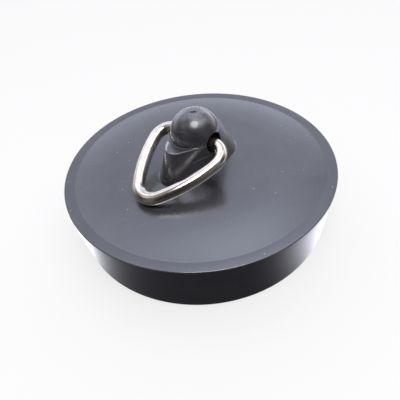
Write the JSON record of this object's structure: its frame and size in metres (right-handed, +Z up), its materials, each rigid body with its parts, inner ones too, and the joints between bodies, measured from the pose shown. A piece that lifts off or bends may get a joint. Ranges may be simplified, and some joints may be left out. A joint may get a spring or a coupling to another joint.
{
  "type": "drain stopper",
  "caption": "Tapered round plug for a bath or sink waste, with a moulded lug on top and a hinged, triangular wire pull ring folded down on it.",
  "frame": {"origin": "middle of the foot, where the plug stands", "axes": "+Z up along the disc's axis; X along the ring's hinge; the ring lies folded towards -Y"},
  "size_m": [0.0454, 0.0454, 0.0197],
  "materials": {
    "body": "satin moulded PVC rubber, dark slate grey, faintly streaked and scuffed",
    "ring": "polished chrome plate on drawn steel wire"
  },
  "bodies": {
    "stopper": {"stopper_body": "body"},
    "ring": {"pull_ring": "ring"}
  },
  "joints": [
    {"name": "ring_hinge", "type": "hinge", "parent": "stopper", "child": "ring", "pos_m": [0, 0, 0.015], "axis": [-1, 0, 0], "range_deg": [0, 214.8]}
  ]
}
